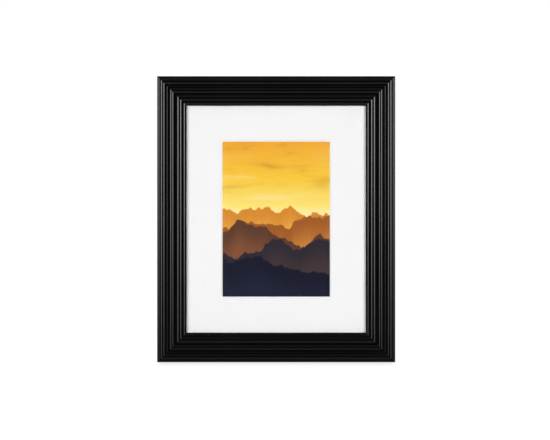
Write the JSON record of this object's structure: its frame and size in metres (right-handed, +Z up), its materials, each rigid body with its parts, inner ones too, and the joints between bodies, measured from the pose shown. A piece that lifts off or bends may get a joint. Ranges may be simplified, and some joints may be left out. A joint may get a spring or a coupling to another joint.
{
  "type": "matted picture frame",
  "caption": "Black reeded picture frame with mitred corners, glass, a white bevelled window mat and print, a backing board held by turn buttons, a fold-out easel leg and hangers.",
  "frame": {"origin": "on the table, under the middle of the box of the frame standing on its open easel leg", "axes": "+Z up, the picture faces -Y and leans back towards +Y, +X to the right of a person who looks at the picture"},
  "size_m": [0.2524, 0.1092, 0.2978],
  "materials": {
    "lacquered_wood": "black satin-gloss lacquer",
    "clear_glass": "clear picture glass",
    "mat_board": "white mat board, white core",
    "photo_paper": "satin photographic print",
    "grey_card": "grey pulp card",
    "faced_hardboard": "hardboard faced with black paper",
    "zinc_steel": "zinc-plated pressed steel",
    "brassed_steel": "brassed pressings and screws"
  },
  "bodies": {
    "frame": {"rail_bottom": "lacquered_wood", "v_nail_bottom_left_1": "zinc_steel", "v_nail_bottom_left_2": "zinc_steel", "button_screw_bottom_left": "brassed_steel", "button_screw_bottom_right": "brassed_steel", "rail_left": "lacquered_wood", "v_nail_top_left_1": "zinc_steel", "v_nail_top_left_2": "zinc_steel", "button_screw_left_upper": "brassed_steel", "button_screw_left_lower": "brassed_steel", "rail_top": "lacquered_wood", "v_nail_top_right_1": "zinc_steel", "v_nail_top_right_2": "zinc_steel", "button_screw_top_right": "brassed_steel", "button_screw_top_left": "brassed_steel", "rail_right": "lacquered_wood", "v_nail_bottom_right_1": "zinc_steel", "v_nail_bottom_right_2": "zinc_steel", "button_screw_right_lower": "brassed_steel", "button_screw_right_upper": "brassed_steel", "backing_board": "faced_hardboard", "filler_card": "grey_card", "print": "photo_paper", "window_mat": "mat_board", "glass": "clear_glass", "hinge_leaf_fixed": "zinc_steel", "hinge_pin": "zinc_steel", "hinge_rivet_board_left": "zinc_steel", "hinge_rivet_board_right": "zinc_steel", "hanger_strap_portrait": "zinc_steel", "hanger_rivet_portrait": "zinc_steel", "hanger_strap_landscape": "zinc_steel", "hanger_rivet_landscape": "zinc_steel"},
    "easel_leg": {"hinge_leaf_moving": "zinc_steel", "easel_leg": "faced_hardboard", "hinge_rivet_leg_left": "zinc_steel", "hinge_rivet_leg_right": "zinc_steel"},
    "turn_button_bottom_left": {"turn_button_bottom_left": "brassed_steel"},
    "turn_button_bottom_right": {"turn_button_bottom_right": "brassed_steel"},
    "turn_button_left_upper": {"turn_button_left_upper": "brassed_steel"},
    "turn_button_left_lower": {"turn_button_left_lower": "brassed_steel"},
    "turn_button_top_right": {"turn_button_top_right": "brassed_steel"},
    "turn_button_top_left": {"turn_button_top_left": "brassed_steel"},
    "turn_button_right_lower": {"turn_button_right_lower": "brassed_steel"},
    "turn_button_right_upper": {"turn_button_right_upper": "brassed_steel"},
    "hanger_ring_portrait": {"hanger_ring_portrait": "zinc_steel"},
    "hanger_ring_landscape": {"hanger_ring_landscape": "zinc_steel"}
  },
  "joints": [
    {"name": "easel_hinge", "type": "hinge", "parent": "frame", "child": "easel_leg", "pos_m": [0, 0.00983, 0.1892], "axis": [1, 0, 0], "range_deg": [-27, 0]},
    {"name": "turn_button_bottom_left_turn", "type": "hinge", "parent": "frame", "child": "turn_button_bottom_left", "pos_m": [-0.062, -0.03474, 0.01604], "axis": [0, 0.9703, -0.2419], "continuous": true},
    {"name": "turn_button_bottom_right_turn", "type": "hinge", "parent": "frame", "child": "turn_button_bottom_right", "pos_m": [0.062, -0.03474, 0.01604], "axis": [0, 0.9703, -0.2419], "continuous": true},
    {"name": "turn_button_left_upper_turn", "type": "hinge", "parent": "frame", "child": "turn_button_left_upper", "pos_m": [-0.1094, 0.01602, 0.2196], "axis": [0, 0.9703, -0.2419], "continuous": true},
    {"name": "turn_button_left_lower_turn", "type": "hinge", "parent": "frame", "child": "turn_button_left_lower", "pos_m": [-0.1094, -0.02027, 0.07406], "axis": [0, 0.9703, -0.2419], "continuous": true},
    {"name": "turn_button_top_right_turn", "type": "hinge", "parent": "frame", "child": "turn_button_top_right", "pos_m": [0.062, 0.03048, 0.27763], "axis": [0, 0.9703, -0.2419], "continuous": true},
    {"name": "turn_button_top_left_turn", "type": "hinge", "parent": "frame", "child": "turn_button_top_left", "pos_m": [-0.062, 0.03048, 0.27763], "axis": [0, 0.9703, -0.2419], "continuous": true},
    {"name": "turn_button_right_lower_turn", "type": "hinge", "parent": "frame", "child": "turn_button_right_lower", "pos_m": [0.1094, -0.02027, 0.07406], "axis": [0, 0.9703, -0.2419], "continuous": true},
    {"name": "turn_button_right_upper_turn", "type": "hinge", "parent": "frame", "child": "turn_button_right_upper", "pos_m": [0.1094, 0.01602, 0.2196], "axis": [0, 0.9703, -0.2419], "continuous": true},
    {"name": "hanger_portrait_swing", "type": "hinge", "parent": "frame", "child": "hanger_ring_portrait", "pos_m": [0, 0.02381, 0.24652], "axis": [1, 0, 0], "range_deg": [-7, 166]},
    {"name": "hanger_landscape_swing", "type": "hinge", "parent": "frame", "child": "hanger_ring_landscape", "pos_m": [0.0776, -0.00111, 0.14658], "axis": [0, 0.2419, 0.9703], "range_deg": [0, 173]}
  ]
}
